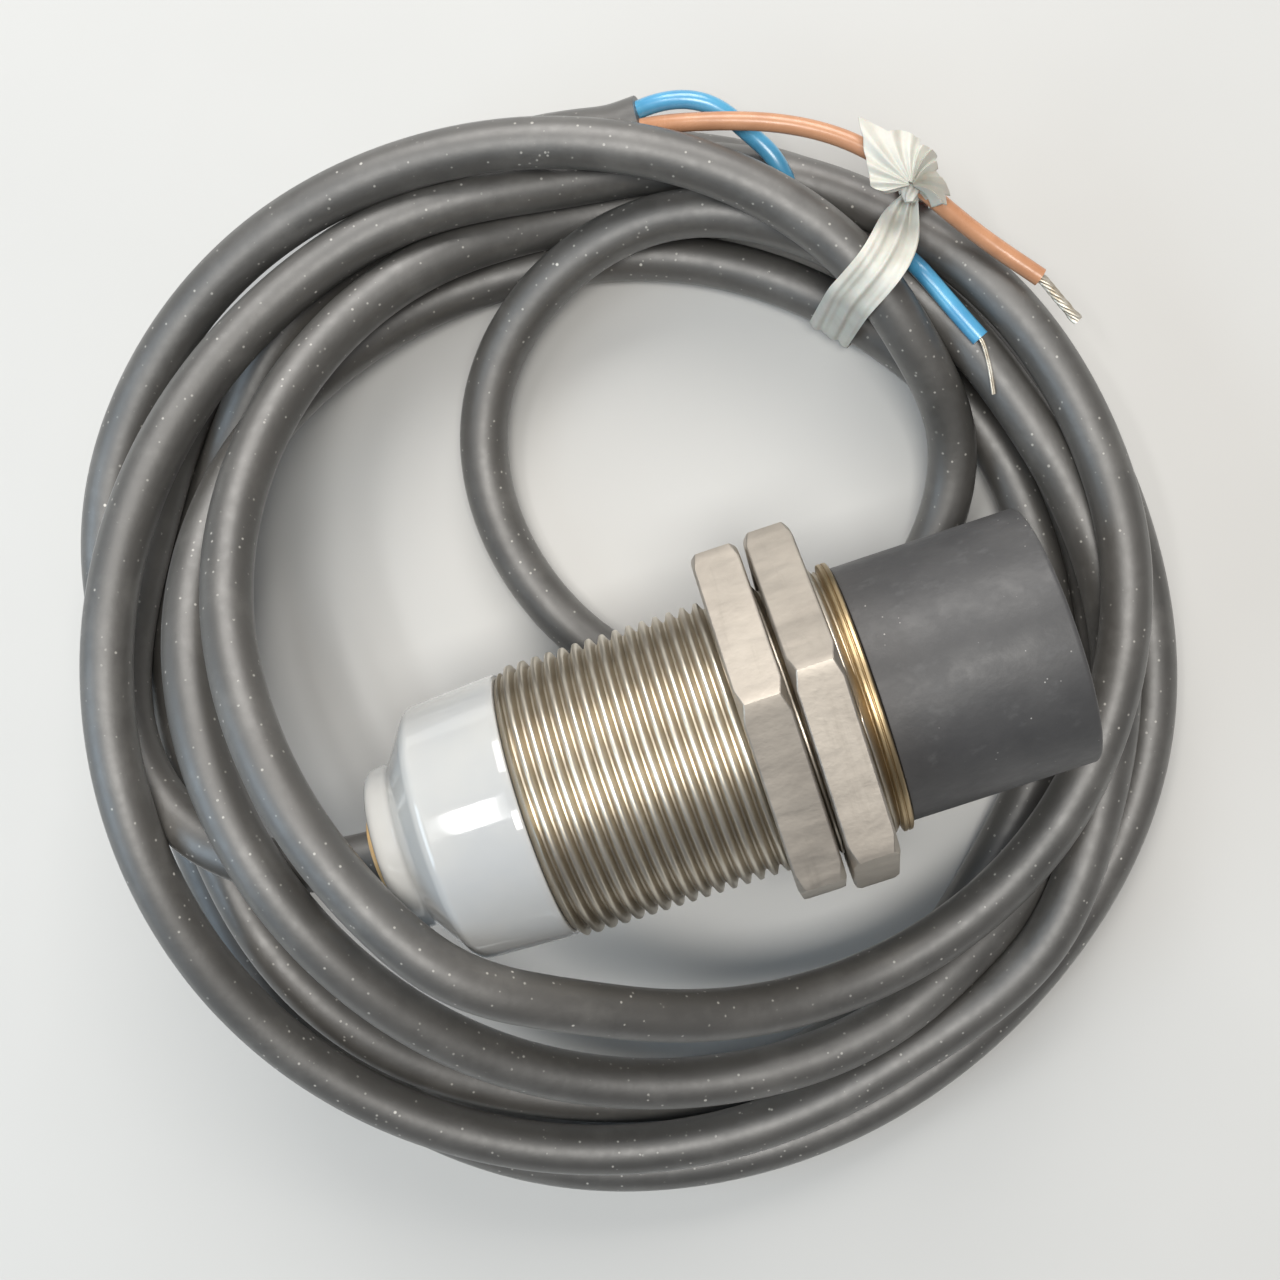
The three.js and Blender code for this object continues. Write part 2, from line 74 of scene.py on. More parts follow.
forward = (LOOKS_AT - CAMERA_AT).normalized()
right = (IMAGE_RIGHT - forward * IMAGE_RIGHT.dot(forward)).normalized()
up = right.cross(forward)
camera_data = bpy.data.cameras.new("camera")
camera_data.lens = LENS
camera_data.clip_start = 0.005
camera = bpy.data.objects.new("camera", camera_data)
camera.matrix_world = Matrix.Translation(CAMERA_AT) @ Matrix((right, up, -forward)).transposed().to_4x4()
bpy.context.collection.objects.link(camera)
bpy.context.scene.camera = camera

# =====================================================================================
# materials
# =====================================================================================


class Paint:
    """A procedural material: a Principled shader with a few helpers for the nodes that feed it."""

    def __init__(self, name, color, roughness, metallic=0.0, **sockets):
        self.material = bpy.data.materials.new(name)
        self.material.use_nodes = True
        self.tree = self.material.node_tree
        self.shader = self.tree.nodes["Principled BSDF"]
        self.set("Base Color", (*color, 1.0))
        self.set("Roughness", roughness)
        self.set("Metallic", metallic)
        for socket, value in sockets.items():
            self.set(socket.replace("_", " "), value)
        self.place = self.node("ShaderNodeTexCoord").outputs["Object"]

    def set(self, socket, value):
        self.shader.inputs[socket].default_value = value

    def node(self, kind, **values):
        node = self.tree.nodes.new(kind)
        for key, value in values.items():
            setattr(node, key, value)
        return node

    def link(self, output, target):
        self.tree.links.new(output, target)

    def scaled(self, scale):
        mapping = self.node("ShaderNodeMapping")
        mapping.inputs["Scale"].default_value = scale
        self.link(self.place, mapping.inputs["Vector"])
        return mapping.outputs["Vector"]

    def noise(self, scale, detail=4.0, rough=0.55, stretch=None):
        noise = self.node("ShaderNodeTexNoise")
        noise.inputs["Scale"].default_value = scale
        noise.inputs["Detail"].default_value = detail
        noise.inputs["Roughness"].default_value = rough
        self.link(self.scaled(stretch) if stretch else self.place, noise.inputs["Vector"])
        return noise.outputs["Fac"]

    def cells(self, scale, low, high):
        """Small round specks: 1 inside a cell's centre, 0 elsewhere."""
        cells = self.node("ShaderNodeTexVoronoi")
        cells.inputs["Scale"].default_value = scale
        self.link(self.place, cells.inputs["Vector"])
        return self.ramp(cells.outputs["Distance"], (low, 1.0), (high, 0.0))

    def ramp(self, value, start, end):
        """Maps value from start[0]..end[0] to start[1]..end[1], clamped."""
        ramp = self.node("ShaderNodeMapRange")
        for socket, number in zip(
            ("From Min", "From Max", "To Min", "To Max"), (start[0], end[0], start[1], end[1])
        ):
            ramp.inputs[socket].default_value = number
        self.link(value, ramp.inputs["Value"])
        return ramp.outputs["Result"]

    def math(self, operation, a, b):
        node = self.node("ShaderNodeMath", operation=operation)
        for socket, value in zip(node.inputs, (a, b)):
            if isinstance(value, (int, float)):
                socket.default_value = value
            else:
                self.link(value, socket)
        return node.outputs[0]

    def mix(self, factor, first, second):
        """A colour mix: first and second are colours or outputs."""
        mix = self.node("ShaderNodeMix", data_type="RGBA")
        self.link(factor, mix.inputs["Factor"])
        for index, value in ((6, first), (7, second)):
            if isinstance(value, tuple):
                mix.inputs[index].default_value = (*value, 1.0)
            else:
                self.link(value, mix.inputs[index])
        return mix.outputs[2]

    def mottle(self, pattern, low, high, light, dark):
        """Goes from the light colour to the dark one as the pattern goes from low to high."""
        return self.mix(self.ramp(pattern, (low, 0.0), (high, 1.0)), light, dark)

    def color(self, output):
        self.link(output, self.shader.inputs["Base Color"])

    def roughness(self, output):
        self.link(output, self.shader.inputs["Roughness"])

    def bump(self, height, distance, strength=1.0):
        bump = self.node("ShaderNodeBump")
        bump.inputs["Strength"].default_value = strength
        bump.inputs["Distance"].default_value = distance
        self.link(height, bump.inputs["Height"])
        if self.shader.inputs["Normal"].is_linked:
            self.link(self.shader.inputs["Normal"].links[0].from_socket, bump.inputs["Normal"])
        self.link(bump.outputs["Normal"], self.shader.inputs["Normal"])

    def along(self):
        """Place along the barrel's axis, in millimetres."""
        split = self.node("ShaderNodeSeparateXYZ")
        self.link(self.scaled((1000.0, 1.0, 1.0)), split.inputs[0])
        return split.outputs["X"]

    def radius(self):
        """Distance from the barrel's axis, in millimetres."""
        flat = self.scaled((0.0, 1000.0, 1000.0))
        length = self.node("ShaderNodeVectorMath", operation="LENGTH")
        self.link(flat, length.inputs[0])
        return length.outputs["Value"]


def barrel_paint():
    paint = Paint("nickel_thread", (0.66, 0.61, 0.53), 0.36, 1.0)
    # Darker towards the thread roots: painted shade in the grooves between the threads, mixed into the
    # nickel's colour
    depth = paint.ramp(paint.radius(), (ROOT_R + 0.05, 0.0), (THREAD_R - 0.25, 1.0))
    base = paint.mottle(paint.noise(90, 5), 0.35, 0.7, (0.72, 0.67, 0.58), (0.60, 0.54, 0.45))
    nickel = paint.mix(depth, (0.47, 0.42, 0.34), base)
    collar = paint.ramp(paint.along(), (COLLAR_START - 0.5, 0.0), (COLLAR_START + 0.2, 0.92))
    paint.color(paint.mix(collar, nickel, (0.46, 0.345, 0.19)))
    lines = paint.noise(400, 3, stretch=(9.0, 0.6, 0.6))
    paint.roughness(paint.ramp(lines, (0.3, 0.32), (0.8, 0.46)))
    paint.bump(lines, 0.00003)
    return paint.material


def nut_paint():
    paint = Paint("nickel_nut", (0.56, 0.51, 0.45), 0.44, 1.0)
    cloud = paint.noise(160, 6, 0.6)
    base = paint.mottle(cloud, 0.3, 0.7, (0.60, 0.55, 0.485), (0.50, 0.455, 0.40))
    streak = paint.noise(220, 5, 0.65, stretch=(3.0, 0.4, 0.4))
    paint.color(paint.mix(paint.ramp(streak, (0.55, 0.0), (0.75, 0.45)), base, (0.40, 0.36, 0.31)))
    rub = paint.noise(300, 4, 0.6, stretch=(0.5, 2.0, 2.0))
    paint.roughness(paint.ramp(rub, (0.3, 0.42), (0.75, 0.56)))
    paint.bump(paint.noise(1400, 4, 0.6), 0.000016)
    return paint.material


def cap_paint():
    paint = Paint("dark_plastic", (0.06, 0.06, 0.063), 0.5, Specular_IOR_Level=0.5)
    cloud = paint.noise(140, 6, 0.6)
    base = paint.mottle(cloud, 0.3, 0.75, (0.046, 0.046, 0.048), (0.074, 0.073, 0.074))
    scuff = paint.noise(420, 8, 0.6, stretch=(0.8, 1.0, 1.3))
    worn = paint.ramp(scuff, (0.58, 0.0), (0.74, 0.4))
    patches = paint.ramp(cloud, (0.5, 0.0), (0.6, 0.7))
    specks = paint.math("MULTIPLY", paint.cells(900, 0.05, 0.09), patches)
    marked = paint.mix(worn, base, (0.13, 0.13, 0.132))
    paint.color(paint.mix(specks, marked, (0.5, 0.49, 0.47)))
    paint.roughness(paint.ramp(scuff, (0.35, 0.42), (0.7, 0.58)))
    paint.bump(paint.noise(1500, 3), 0.00002)
    paint.bump(scuff, 0.00003)
    return paint.material


def rear_paint():
    paint = Paint(
        "milky_plastic", (0.49, 0.49, 0.48), 0.1,
        Subsurface_Weight=0.35, Subsurface_Scale=0.003, Coat_Weight=0.6, Coat_Roughness=0.04,
    )
    paint.set("Subsurface Radius", (1.0, 0.95, 0.9))
    paint.color(paint.mottle(paint.noise(90, 3), 0.3, 0.7, (0.50, 0.50, 0.485), (0.45, 0.46, 0.465)))
    paint.roughness(paint.ramp(paint.noise(350, 4), (0.3, 0.07), (0.8, 0.16)))
    paint.bump(paint.noise(120, 2), 0.0001)
    return paint.material


def gland_paint():
    paint = Paint("amber_bush", (0.62, 0.40, 0.17), 0.4, Coat_Weight=0.2)
    paint.color(paint.mix(paint.noise(400, 4), (0.70, 0.47, 0.22), (0.50, 0.30, 0.12)))
    paint.bump(paint.noise(1200, 3), 0.00003)
    return paint.material


def cable_paint():
    paint = Paint(
        "dark_pvc", (0.05, 0.046, 0.041), 0.44,
        Specular_IOR_Level=1.0, Coat_Weight=1.0, Coat_Roughness=0.48,
    )
    cloud = paint.noise(60, 6, 0.6)
    fine = paint.noise(700, 5, 0.6)
    base = paint.mottle(cloud, 0.3, 0.7, (0.040, 0.038, 0.034), (0.066, 0.062, 0.056))
    dusty = paint.ramp(paint.noise(130, 6, 0.65), (0.5, 0.0), (0.72, 1.0))
    film = paint.mix(paint.math("MULTIPLY", dusty, 0.4), base, (0.14, 0.135, 0.125))
    small_where = paint.ramp(fine, (0.40, 0.0), (0.52, 0.5))
    small_grains = paint.math("MULTIPLY", paint.cells(820, 0.07, 0.15), small_where)
    big_where = paint.ramp(cloud, (0.36, 0.2), (0.58, 1.0))
    big_grains = paint.math("MULTIPLY", paint.cells(230, 0.026, 0.05), big_where)
    grains = paint.math("MAXIMUM", small_grains, big_grains)
    paint.color(paint.mix(grains, film, (0.62, 0.60, 0.55)))
    paint.roughness(paint.ramp(fine, (0.3, 0.46), (0.75, 0.62)))
    paint.bump(fine, 0.00004)
    paint.bump(cloud, 0.0002)
    return paint.material


def wire_paint(name, light, dark, coat):
    paint = Paint(name, light, 0.28, Coat_Weight=coat, Coat_Roughness=0.28)
    paint.color(paint.mottle(paint.noise(250, 5), 0.35, 0.7, light, dark))
    paint.roughness(paint.ramp(paint.noise(500, 3), (0.3, 0.24), (0.8, 0.4)))
    paint.bump(paint.noise(600, 3), 0.00004)
    return paint.material


def strand_paint():
    paint = Paint("tinned_copper", (0.66, 0.62, 0.55), 0.4, 0.7)
    paint.color(paint.mottle(paint.noise(900, 4), 0.4, 0.65, (0.66, 0.62, 0.54), (0.46, 0.40, 0.31)))
    paint.roughness(paint.ramp(paint.noise(1500, 3), (0.3, 0.34), (0.8, 0.5)))
    return paint.material


def tie_paint():
    paint = Paint(
        "ribbed_film", (0.56, 0.56, 0.51), 0.5,
        Subsurface_Weight=0.15, Subsurface_Scale=0.001,
    )
    paint.color(paint.mottle(paint.noise(300, 5), 0.35, 0.75, (0.58, 0.575, 0.525), (0.47, 0.465, 0.415)))
    paint.bump(paint.noise(900, 4), 0.00005)
    return paint.material


def plain_paint(name, color, roughness, metallic=0.0, grain=500.0):
    """For the small pieces inside the barrel: mottled colour and a fine surface."""
    paint = Paint(name, color, roughness, metallic)
    dark = tuple(0.7 * c for c in color)
    paint.color(paint.mottle(paint.noise(grain, 4), 0.3, 0.7, color, dark))
    paint.bump(paint.noise(3 * grain, 3), 0.00002)
    return paint.material


PAINTS = {
    "barrel_nickel": barrel_paint(),
    "nut_nickel": nut_paint(),
    "cap_plastic": cap_paint(),
    "rear_plastic": rear_paint(),
    "gland_bush": gland_paint(),
    "cable_jacket": cable_paint(),
    "blue_insulation": wire_paint("blue_pvc", (0.09, 0.36, 0.58), (0.05, 0.25, 0.46), 0.9),
    "brown_insulation": wire_paint("brown_pvc", (0.53, 0.27, 0.15), (0.42, 0.20, 0.105), 0.2),
    "tinned_copper": strand_paint(),
    "tie_film": tie_paint(),
    "seal_rubber": plain_paint("seal_rubber", (0.02, 0.02, 0.02), 0.7),
    "ferrite": plain_paint("ferrite", (0.05, 0.05, 0.052), 0.6),
    "bobbin_plastic": plain_paint("bobbin_plastic", (0.60, 0.55, 0.43), 0.5),
    "copper": plain_paint("enamelled_copper", (0.60, 0.25, 0.12), 0.3, 1.0, 1500.0),
    "circuit_board": plain_paint("circuit_board", (0.03, 0.18, 0.08), 0.4),
    "chip_plastic": plain_paint("chip_plastic", (0.02, 0.02, 0.02), 0.5),
    "varistor_coat": plain_paint("varistor_coat", (0.05, 0.13, 0.40), 0.35),
    "resin": plain_paint("potting_resin", (0.06, 0.05, 0.04), 0.3),
    "led_lens": plain_paint("led_lens", (0.60, 0.05, 0.03), 0.12),
}

# =====================================================================================
# helpers for pieces
# =====================================================================================


def place(piece, slot, body=BODY, replaces=()):
    """Gives a piece its finish, its body and the CAD nodes that it stands for."""
    piece.data.materials.clear()
    piece.data.materials.append(PAINTS[slot])
    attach(piece, body)
    if replaces:
        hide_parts(*replaces)
    return piece


def mesh_piece(name, points, faces, sharp=math.radians(32)):
    """A mesh object from millimetre points."""
    mesh = bpy.data.meshes.new(name)
    mesh.from_pydata([tuple(c * MM for c in p) for p in points], [], faces)
    work = bmesh.new()
    work.from_mesh(mesh)
    bmesh.ops.remove_doubles(work, verts=work.verts, dist=1e-7)
    bmesh.ops.dissolve_degenerate(work, dist=1e-8, edges=work.edges)
    bmesh.ops.recalc_face_normals(work, faces=work.faces)
    work.to_mesh(mesh)
    work.free()
    mesh.shade_smooth()
    mesh.set_sharp_from_angle(angle=sharp)
    piece = bpy.data.objects.new(name, mesh)
    bpy.context.collection.objects.link(piece)
    return piece


def rounded(profile, radius, steps):
    """Rounds a closed (x, r) outline's corners; a corner may give its own radius as a third number."""
    out = []
    count = len(profile)
    for i, corner in enumerate(profile):
        here = np.array(corner[:2])
        reach = corner[2] if len(corner) > 2 else radius
        before = np.array(profile[i - 1][:2]) - here
        after = np.array(profile[(i + 1) % count][:2]) - here
        a, b = np.linalg.norm(before), np.linalg.norm(after)
        if reach <= 0 or a < 1e-6 or b < 1e-6:
            out.append(tuple(here))
            continue
        before, after = before / a, after / b
        cut = min(reach, 0.45 * a, 0.45 * b)
        for t in np.linspace(0, 1, steps):
            out.append(tuple(here + before * cut * (1 - t) ** 2 + after * cut * t ** 2))
    return out


def ring_faces(sides, count):
    """Faces between closed outlines of count points each, which stand round the barrel's axis."""
    faces = []
    for j in range(sides):
        here, there = j * count, ((j + 1) % sides) * count
        for k in range(count):
            after = (k + 1) % count
            faces.append((here + k, here + after, there + after, there + k))
    return faces


def turned(name, profile, sides=128, sharp=math.radians(32)):
    """A round piece about the barrel's axis, from a closed outline of (x, r) corners."""
    points = []
    for j in range(sides):
        angle = 2 * math.pi * j / sides
        for x, r in profile:
            points.append((x, max(r, 0.0) * math.cos(angle), max(r, 0.0) * math.sin(angle)))
    return mesh_piece(name, points, ring_faces(sides, len(profile)), sharp)


def spline(points, step):
    """Points at an even step along a smooth curve through the given ones."""
    points = np.array(points, float)
    ends = np.vstack([2 * points[0] - points[1], points, 2 * points[-1] - points[-2]])
    run = []
    for a, b, c, d in zip(ends[:-3], ends[1:-2], ends[2:-1], ends[3:]):
        t1 = np.linalg.norm(b - a) ** 0.5
        t2 = t1 + np.linalg.norm(c - b) ** 0.5
        t3 = t2 + np.linalg.norm(d - c) ** 0.5
        t = np.linspace(t1, t2, 24, endpoint=False)[:, None]
        ab = a + (b - a) * t / t1
        bc = b + (c - b) * (t - t1) / (t2 - t1)
        cd = c + (d - c) * (t - t2) / (t3 - t2)
        abc = ab + (bc - ab) * t / t2
        bcd = bc + (cd - bc) * (t - t1) / (t3 - t1)
        run.append(abc + (bcd - abc) * (t - t1) / (t2 - t1))
    run = np.vstack(run + [points[-1:]])
    far = np.r_[0, np.cumsum(np.linalg.norm(np.diff(run, axis=0), axis=1))]
    marks = np.linspace(0, far[-1], int(round(far[-1] / step)) + 1)
    return np.stack([np.interp(marks, far, run[:, k]) for k in range(3)], axis=1)


def cord_piece(name, points, radius, resolution=5):
    """A round cord as a curve of one open spline."""
    curve = bpy.data.curves.new(name, "CURVE")
    curve.dimensions = "3D"
    curve.bevel_depth = radius * MM
    curve.bevel_resolution = resolution
    curve.use_fill_caps = True
    line = curve.splines.new("POLY")
    line.points.add(len(points) - 1)
    for target, point in zip(line.points, points):
        target.co = (*(c * MM for c in point), 1.0)
    line.use_smooth = True
    piece = bpy.data.objects.new(name, curve)
    bpy.context.collection.objects.link(piece)
    return piece


# =====================================================================================
# the lead: its turns, then how they settle on each other
# =====================================================================================
# Degrees round the coil's centre, in the order in which each turn passes them.
STATIONS = [180, 150, 120, 90, 60, 30, 0, -30, -60, -90, -120, -150]
EXIT = [
    (-72.0, 0, 0), (-76.5, 0, 0), (-81.0, 0.4, -0.2), (-85.4, 1.6, -0.8), (-89.5, 3.5, -1.8),
    (-93.2, 6.1, -3.2), (-96.2, 9.3, -4.8), (-98.5, 13.2, -6.6), (-99.9, 17.5, -8.5),
    (-100.5, 22.0, -10.4), (-100.3, 26.6, -12.3), (-99.3, 31.2, -14.0),
]
INNER_LOOP = [
    (0.1, 28.8, -19.0), (-0.9, 22.0, -21.6), (-3.1, 16.7, -23.3),
    (-5.4, 13.6, -23.95), (-8.7, 10.8, -23.95), (-12.5, 8.4, -23.95), (-16.5, 5.8, -23.95),
    (-21.5, 3.9, -23.95), (-27.2, 3.3, -23.95), (-33.2, 3.7, -23.95), (-39.0, 5.8, -23.95),
    (-44.0, 9.3, -23.95), (-48.4, 14.4, -23.95), (-51.8, 21.3, -23.95), (-53.9, 28.6, -23.95),
    (-54.5, 35.2, -23.95), (-53.5, 41.2, -23.95), (-50.9, 46.8, -22.5), (-46.3, 51.6, -20.5),
    (-40.4, 55.4, -18.8), (-33.5, 57.9, -17.8),
]
JACKET_END = [(-32.4, 67.6, -14.6), (-23.6, 68.6, -12.2)]
# Each turn: its first station, then (radius, height) at that station and those after it.
TURNS = [
    (1, [(56.5, -16.5), (58.3, -20.5), (58.5, -23), (58, -24), (58, -24), (59, -24),
         (61.5, -24), (61.2, -24), (62.3, -24), (63.6, -23.5), (62, -22.5)]),
    (0, [(57.5, -19.5), (63.9, -17), (63, -12), (58, -9), (53, -9), (48, -13)]),
    "inner loop",
    (4, [(51, -15.5), (51, -17), (53, -18.3), (56, -18.3), (56.5, -18.3), (58, -18.3),
         (59.8, -16), (60, -9)]),
    (0, [(57.4, -1), (57, -4), (56, -10), (55, -15), (55.5, -17.5), (57, -14),
         (56, -12.5), (53.5, -12.3), (48.4, -12.5), (42.6, -7), (37.2, 6), (37.0, 10.5)]),
    (0, [(38.2, 10), (43.8, 1), (48.5, -10), (50.5, -17), (52.5, -23), (53, -20),
         (52.5, -20), (55.5, -23), (54, -18), (51, -13), (48.5, -7), (45.6, 2.5)]),
    (0, [(45.9, 4), (48.6, -4.5), (48.5, -18), (46.5, -23.9), (46, -24), (46.5, -24),
         (49.5, -24), (49.5, -24), (50.5, -24), (54, -24), (54.8, -21), (55, -13)]),
    (0, [(53.5, -14), (55.5, -19), (56.5, -18), (55.6, -16)]),
]
# The twist tie: where it starts near the coil's inner edge, and which way it runs across the turns.
TIE_ANGLE = math.radians(39.2)
TIE_AT = np.array([-13.6, 37.6])
TIE_ALONG = np.array([math.cos(TIE_ANGLE), math.sin(TIE_ANGLE)])
TIE_ACROSS = np.array([-math.sin(TIE_ANGLE), math.cos(TIE_ANGLE)])
TIE_WIDTH = 5.4
TIE_THICKNESS = 0.35
KNOT_ALONG = 19.4

# The hard pieces that the lead lies against: x range and radius about the barrel's axis.
HARD = [
    (REAR_END, -70.9, 9.0), (-70.9, -69.4, 11.3), (-69.4, -68.0, 13.4), (-68.0, -57.4, 14.6),
    (-57.4, -20.4, 15.1), (-34.0, -22.9, 20.7), (-20.4, 0.0, 14.0),
]


def wound_route():
    route = list(EXIT)
    for part in TURNS:
        if part == "inner loop":
            route += INNER_LOOP
            continue
        first, marks = part
        for station, (radius, height) in zip(STATIONS[first:], marks):
            angle = math.radians(station)
            route.append((
                COIL_CENTRE[0] + radius * math.cos(angle),
                COIL_CENTRE[1] + radius * math.sin(angle),
                height,
            ))
    return route + JACKET_END


def push_from_hard(points, clear, free):
    """Moves points out of the sensor's own pieces, straight away from each one's surface."""
    radial = np.hypot(points[:, 1], points[:, 2])
    for low, high, radius in HARD:
        dx = np.maximum(low - points[:, 0], 0) - np.maximum(points[:, 0] - high, 0)
        dr = np.maximum(radial - radius, 0)
        gap = np.hypot(dx, dr)
        near = (gap < clear) & free
        scale = (clear - gap[near]) / np.maximum(gap[near], 1e-3)
        points[near, 0] -= dx[near] * scale
        out = dr[near] * scale / np.maximum(radial[near], 1e-3)
        points[near, 1:] *= (1 + out)[:, None]


def evened(points, rounds):
    """Takes small wiggles out of a route and leaves its wide curves alone."""
    for _ in range(rounds):
        smooth = points.copy()
        smooth[2:-2] = (
            -points[:-4] + 4 * points[1:-3] + 10 * points[2:-2] + 4 * points[3:-1] - points[4:]
        ) / 16
        points = smooth
    return points


def settle(points, step, rounds, radius, still=9.0, others=None, other_radius=0.0, weight=0.01):
    """Lets a cord give way to itself and to other cords, lie down and stay smooth, near its plan.

    Its first stretch, still millimetres long, stays put, and weight pulls each point to its plan."""
    plan = points.copy()
    index = np.arange(len(points))
    free = index > int(still / step)
    apart = np.abs(index[:, None] - index[None, :]) > int(5.6 * radius / step)
    near_tie = np.exp(-(((points[:, :2] - TIE_AT) @ TIE_ACROSS) / 5.0) ** 2)
    ground = FLOOR + radius + 0.05 + 0.7 * near_tie * (points[:, 1] > 25)
    for _ in range(rounds):
        held = points[~free].copy()
        gap = points[:, None, :] - points[None, :, :]
        far = np.sqrt((gap ** 2).sum(-1)) + 1e-9
        overlap = np.where(apart & (far < 2.02 * radius), 2.02 * radius - far, 0)
        touching = np.maximum((overlap > 0).sum(1), 1)[:, None]
        points = points + 0.5 * (gap * (overlap / far)[..., None]).sum(1) / touching
        if others is not None:
            gap = points[:, None, :] - others[None, :, :]
            far = np.sqrt((gap ** 2).sum(-1)) + 1e-9
            overlap = np.where(far < radius + other_radius, radius + other_radius - far, 0)
            touching = np.maximum((overlap > 0).sum(1), 1)[:, None]
            points = points + 0.8 * (gap * (overlap / far)[..., None]).sum(1) / touching
        push_from_hard(points, radius + 0.1, free)
        points += np.clip(weight * (plan - points), -0.1, 0.1)
        points = 0.6 * points + 0.4 * evened(points, 1)
        points[:, 2] = np.maximum(points[:, 2], ground)
        points[~free] = held
    return points


SETTLE_STEP = 4.0
LEAD_STEP = 1.2
WIRE_STEP = 0.7
lead_plan = evened(spline(wound_route(), SETTLE_STEP), 80)
lead_line = spline(evened(settle(lead_plan, SETTLE_STEP, 320, CABLE_R), 5), LEAD_STEP)
lead = place(
    cord_piece("lead", lead_line, CABLE_R, 7), "cable_jacket",
    replaces=("cable_exit", "cable_coil", "cable_inner_loop", "cable_end"),
)

# The two cores from inside the jacket's end, and the strands from inside each core's end.
BROWN = [
    (-25.4, 68.0, -12.2), (-22.6, 67.4, -11.2), (-17.7, 65.7, -9.8), (-13.5, 64.2, -9.2),
    (-9.4, 62.4, -9.0), (-5.5, 60.1, -8.8), (-2.7, 57.8, -8.4), (1.4, 52.9, -7.8), (3.4, 49.6, -8.0),
    (7.9, 43.4, -10.0), (12.7, 37.3, -10.8),
]
BROWN_TAIL = [(12.4, 37.7, -10.75), (12.9, 37.0, -10.9), (14.0, 34.4, -11.2), (15.3, 31.5, -11.6)]
BLUE = [
    (-25.4, 69.7, -12.5), (-22.8, 69.8, -11.6), (-20.2, 69.3, -10.8), (-17.0, 68.3, -10.7),
    (-14.6, 66.3, -11.2), (-12.4, 62.7, -12.8), (-10.2, 59.3, -15.0), (-8.2, 56.2, -17.4),
    (-6.4, 53.4, -19.4), (-4.4, 50.3, -19.2), (-2.6, 47.4, -17.0), (-0.9, 44.5, -14.8),
    (0.9, 41.2, -13.6), (2.8, 37.1, -13.3), (4.5, 33.1, -13.4),
]
BLUE_TAIL = [(4.4, 33.3, -13.4), (4.6, 32.7, -13.4), (4.6, 30.0, -14.0), (4.2, 26.8, -14.8)]


def core_wire(name, route, slot, node):
    """One insulated core, settled on the turns of the lead that lie near it."""
    near = lead_line[(lead_line[:, 1] > 20) & (lead_line[:, 0] > -20)]
    plan = evened(spline(route, LEAD_STEP), 40)
    settled = settle(plan, LEAD_STEP, 60, CORE_R, 4.0, near, CABLE_R, 0.05)
    line = spline(evened(settled, 40), WIRE_STEP)
    wire = place(cord_piece(name, line, CORE_R), slot, replaces=(node,))
    return wire, line


def twisted_tail(name, route, node, strands, spread, turns, strand_r, shift):
    """Fine strands twisted together along a route, as one mesh."""
    line = spline(np.array(route) + shift, 0.35)
    forward = np.gradient(line, axis=0)
    forward /= np.linalg.norm(forward, axis=1)[:, None]
    side = np.cross(forward, (0.0, 0.0, 1.0))
    side /= np.linalg.norm(side, axis=1)[:, None]
    above = np.cross(side, forward)
    points, faces = [], []
    sides = 12
    along = np.linspace(0, 1, len(line))
    for s in range(strands):
        phase = 2 * math.pi * (turns * along + s / strands)
        open_up = spread * (1 + 0.35 * along ** 4 * math.cos(2.4 * s))
        sideways = side * (open_up * np.cos(phase))[:, None]
        upwards = above * (open_up * np.sin(phase))[:, None]
        centre = line + sideways + upwards
        start = len(points)
        for i, c in enumerate(centre):
            for k in range(sides):
                a = 2 * math.pi * k / sides
                points.append(tuple(c + strand_r * (math.cos(a) * side[i] + math.sin(a) * above[i])))
        for i in range(len(centre) - 1):
            for k in range(sides):
                a, b = start + i * sides + k, start + i * sides + (k + 1) % sides
                faces.append((a, b, b + sides, a + sides))
        faces.append(tuple(start + k for k in range(sides)))
        last = start + (len(centre) - 1) * sides
        faces.append(tuple(last + sides - 1 - k for k in range(sides)))
    return place(mesh_piece(name, points, faces), "tinned_copper", replaces=(node,))


brown, brown_line = core_wire("brown_wire", BROWN, "brown_insulation", "brown_core")
blue, blue_line = core_wire("blue_wire", BLUE, "blue_insulation", "blue_core")
brown_tail = twisted_tail(
    "brown_wire_strands", BROWN_TAIL, "brown_strands", 7, 0.36, 1.1, 0.23,
    brown_line[-1] - np.array(BROWN[-1]),
)
blue_tail = twisted_tail(
    "blue_wire_strands", BLUE_TAIL, "blue_strands", 3, 0.13, 0.15, 0.15,
    blue_line[-1] - np.array(BLUE[-1]),
)

# =====================================================================================
# sensor
# =====================================================================================


def thread_radius(u):
    """Radius over one pitch, u from 0 to 1: narrow root, steep flanks and a flat crest with soft edges."""
    root_share, flank_share = 0.07, 0.31
    depth = THREAD_R - 0.03 - ROOT_R
    flank = min(1.0, max(0.0, (0.5 - abs(u - 0.5) - root_share) / flank_share))
    return ROOT_R + depth * (flank * flank * (3 - 2 * flank) * 0.35 + flank * 0.65)


